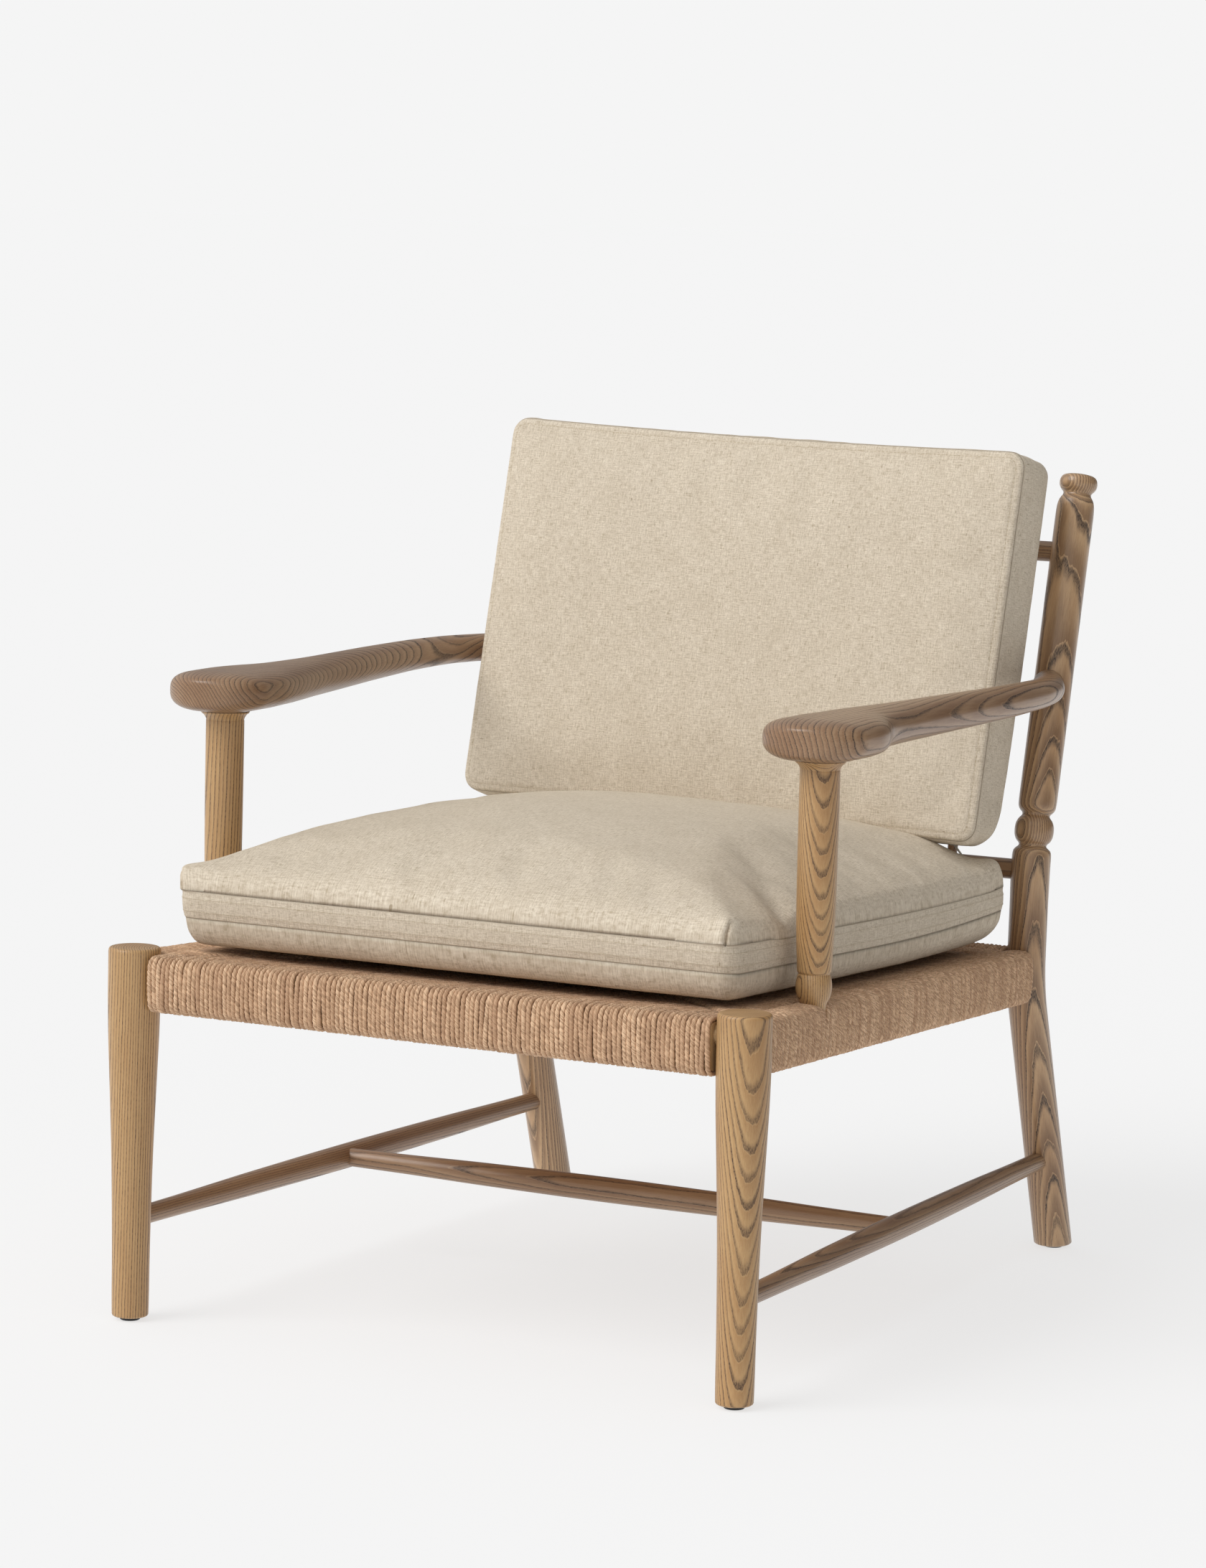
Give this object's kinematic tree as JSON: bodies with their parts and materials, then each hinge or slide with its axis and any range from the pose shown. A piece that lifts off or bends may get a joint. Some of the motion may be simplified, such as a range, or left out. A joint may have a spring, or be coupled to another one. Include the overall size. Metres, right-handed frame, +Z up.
{
  "type": "wooden armchair",
  "caption": "Low lounge armchair: turned and bent wood frame, woven paper cord seat, paddle arms, spindle back and loose zipped seat and back cushions.",
  "frame": {"origin": "on the floor under the middle of the chair's bounding box", "axes": "+Z up, -Y the way the chair faces, +X the sitter's left"},
  "size_m": [0.7404, 0.8542, 0.8319],
  "materials": {
    "ash_light": "golden stained ash, satin lacquer",
    "ash_dark": "brown stained ash, satin lacquer",
    "ash_raw": "bare wood under the cord",
    "paper_cord": "twisted paper cord, matte",
    "glide_black": "moulded nylon",
    "linen": "heathered beige linen weave",
    "cushion_fill": "foam wrapped in fibre",
    "zip_metal": "satin zip teeth, slider and pull"
  },
  "bodies": {
    "frame": {"front_leg_left": "ash_light", "front_leg_right": "ash_light", "rear_post_left": "ash_dark", "rear_post_right": "ash_dark", "seat_rail_front": "ash_raw", "seat_rail_rear": "ash_raw", "seat_rail_left": "ash_raw", "seat_rail_right": "ash_raw", "woven_seat": "paper_cord", "arm_support_left": "ash_light", "arm_support_right": "ash_light", "arm_left": "ash_dark", "arm_right": "ash_dark", "side_stretcher_left": "ash_dark", "side_stretcher_right": "ash_dark", "cross_stretcher": "ash_dark", "back_rod_low": "ash_dark", "back_rod_top": "ash_dark", "back_spindle_1": "ash_dark", "back_spindle_2": "ash_dark", "back_spindle_3": "ash_dark", "back_spindle_4": "ash_dark", "back_spindle_5": "ash_dark", "back_spindle_6": "ash_dark", "back_spindle_7": "ash_dark", "glide_front_left": "glide_black", "glide_front_right": "glide_black", "glide_rear_left": "glide_black", "glide_rear_right": "glide_black"},
    "seat_cushion": {"seat_cushion_cover": "linen", "seat_cushion_core": "cushion_fill", "seat_cushion_zip": "zip_metal"},
    "back_cushion": {"back_cushion_cover": "linen", "back_cushion_core": "cushion_fill", "back_cushion_zip": "zip_metal"},
    "zip_slider": {"zip_slider": "zip_metal"},
    "zip_pull": {"zip_pull": "zip_metal"}
  },
  "joints": [
    {"name": "seat_cushion_slide", "type": "slide", "parent": "frame", "child": "seat_cushion", "axis": [0, -0.9991, 0.0414], "range_m": [0, 0.72]},
    {"name": "back_cushion_lift", "type": "slide", "parent": "frame", "child": "back_cushion", "axis": [0, 0.2181, 0.9759], "range_m": [0, 0.46]},
    {"name": "zip_slide", "type": "slide", "parent": "back_cushion", "child": "zip_slider", "axis": [1, 0, 0], "range_m": [-0.476, 0]},
    {"name": "zip_pull_swing", "type": "hinge", "parent": "zip_slider", "child": "zip_pull", "pos_m": [0.238, 0.24364, 0.43518], "axis": [0, -0.9759, 0.2181], "range_deg": [-126, 38]}
  ]
}
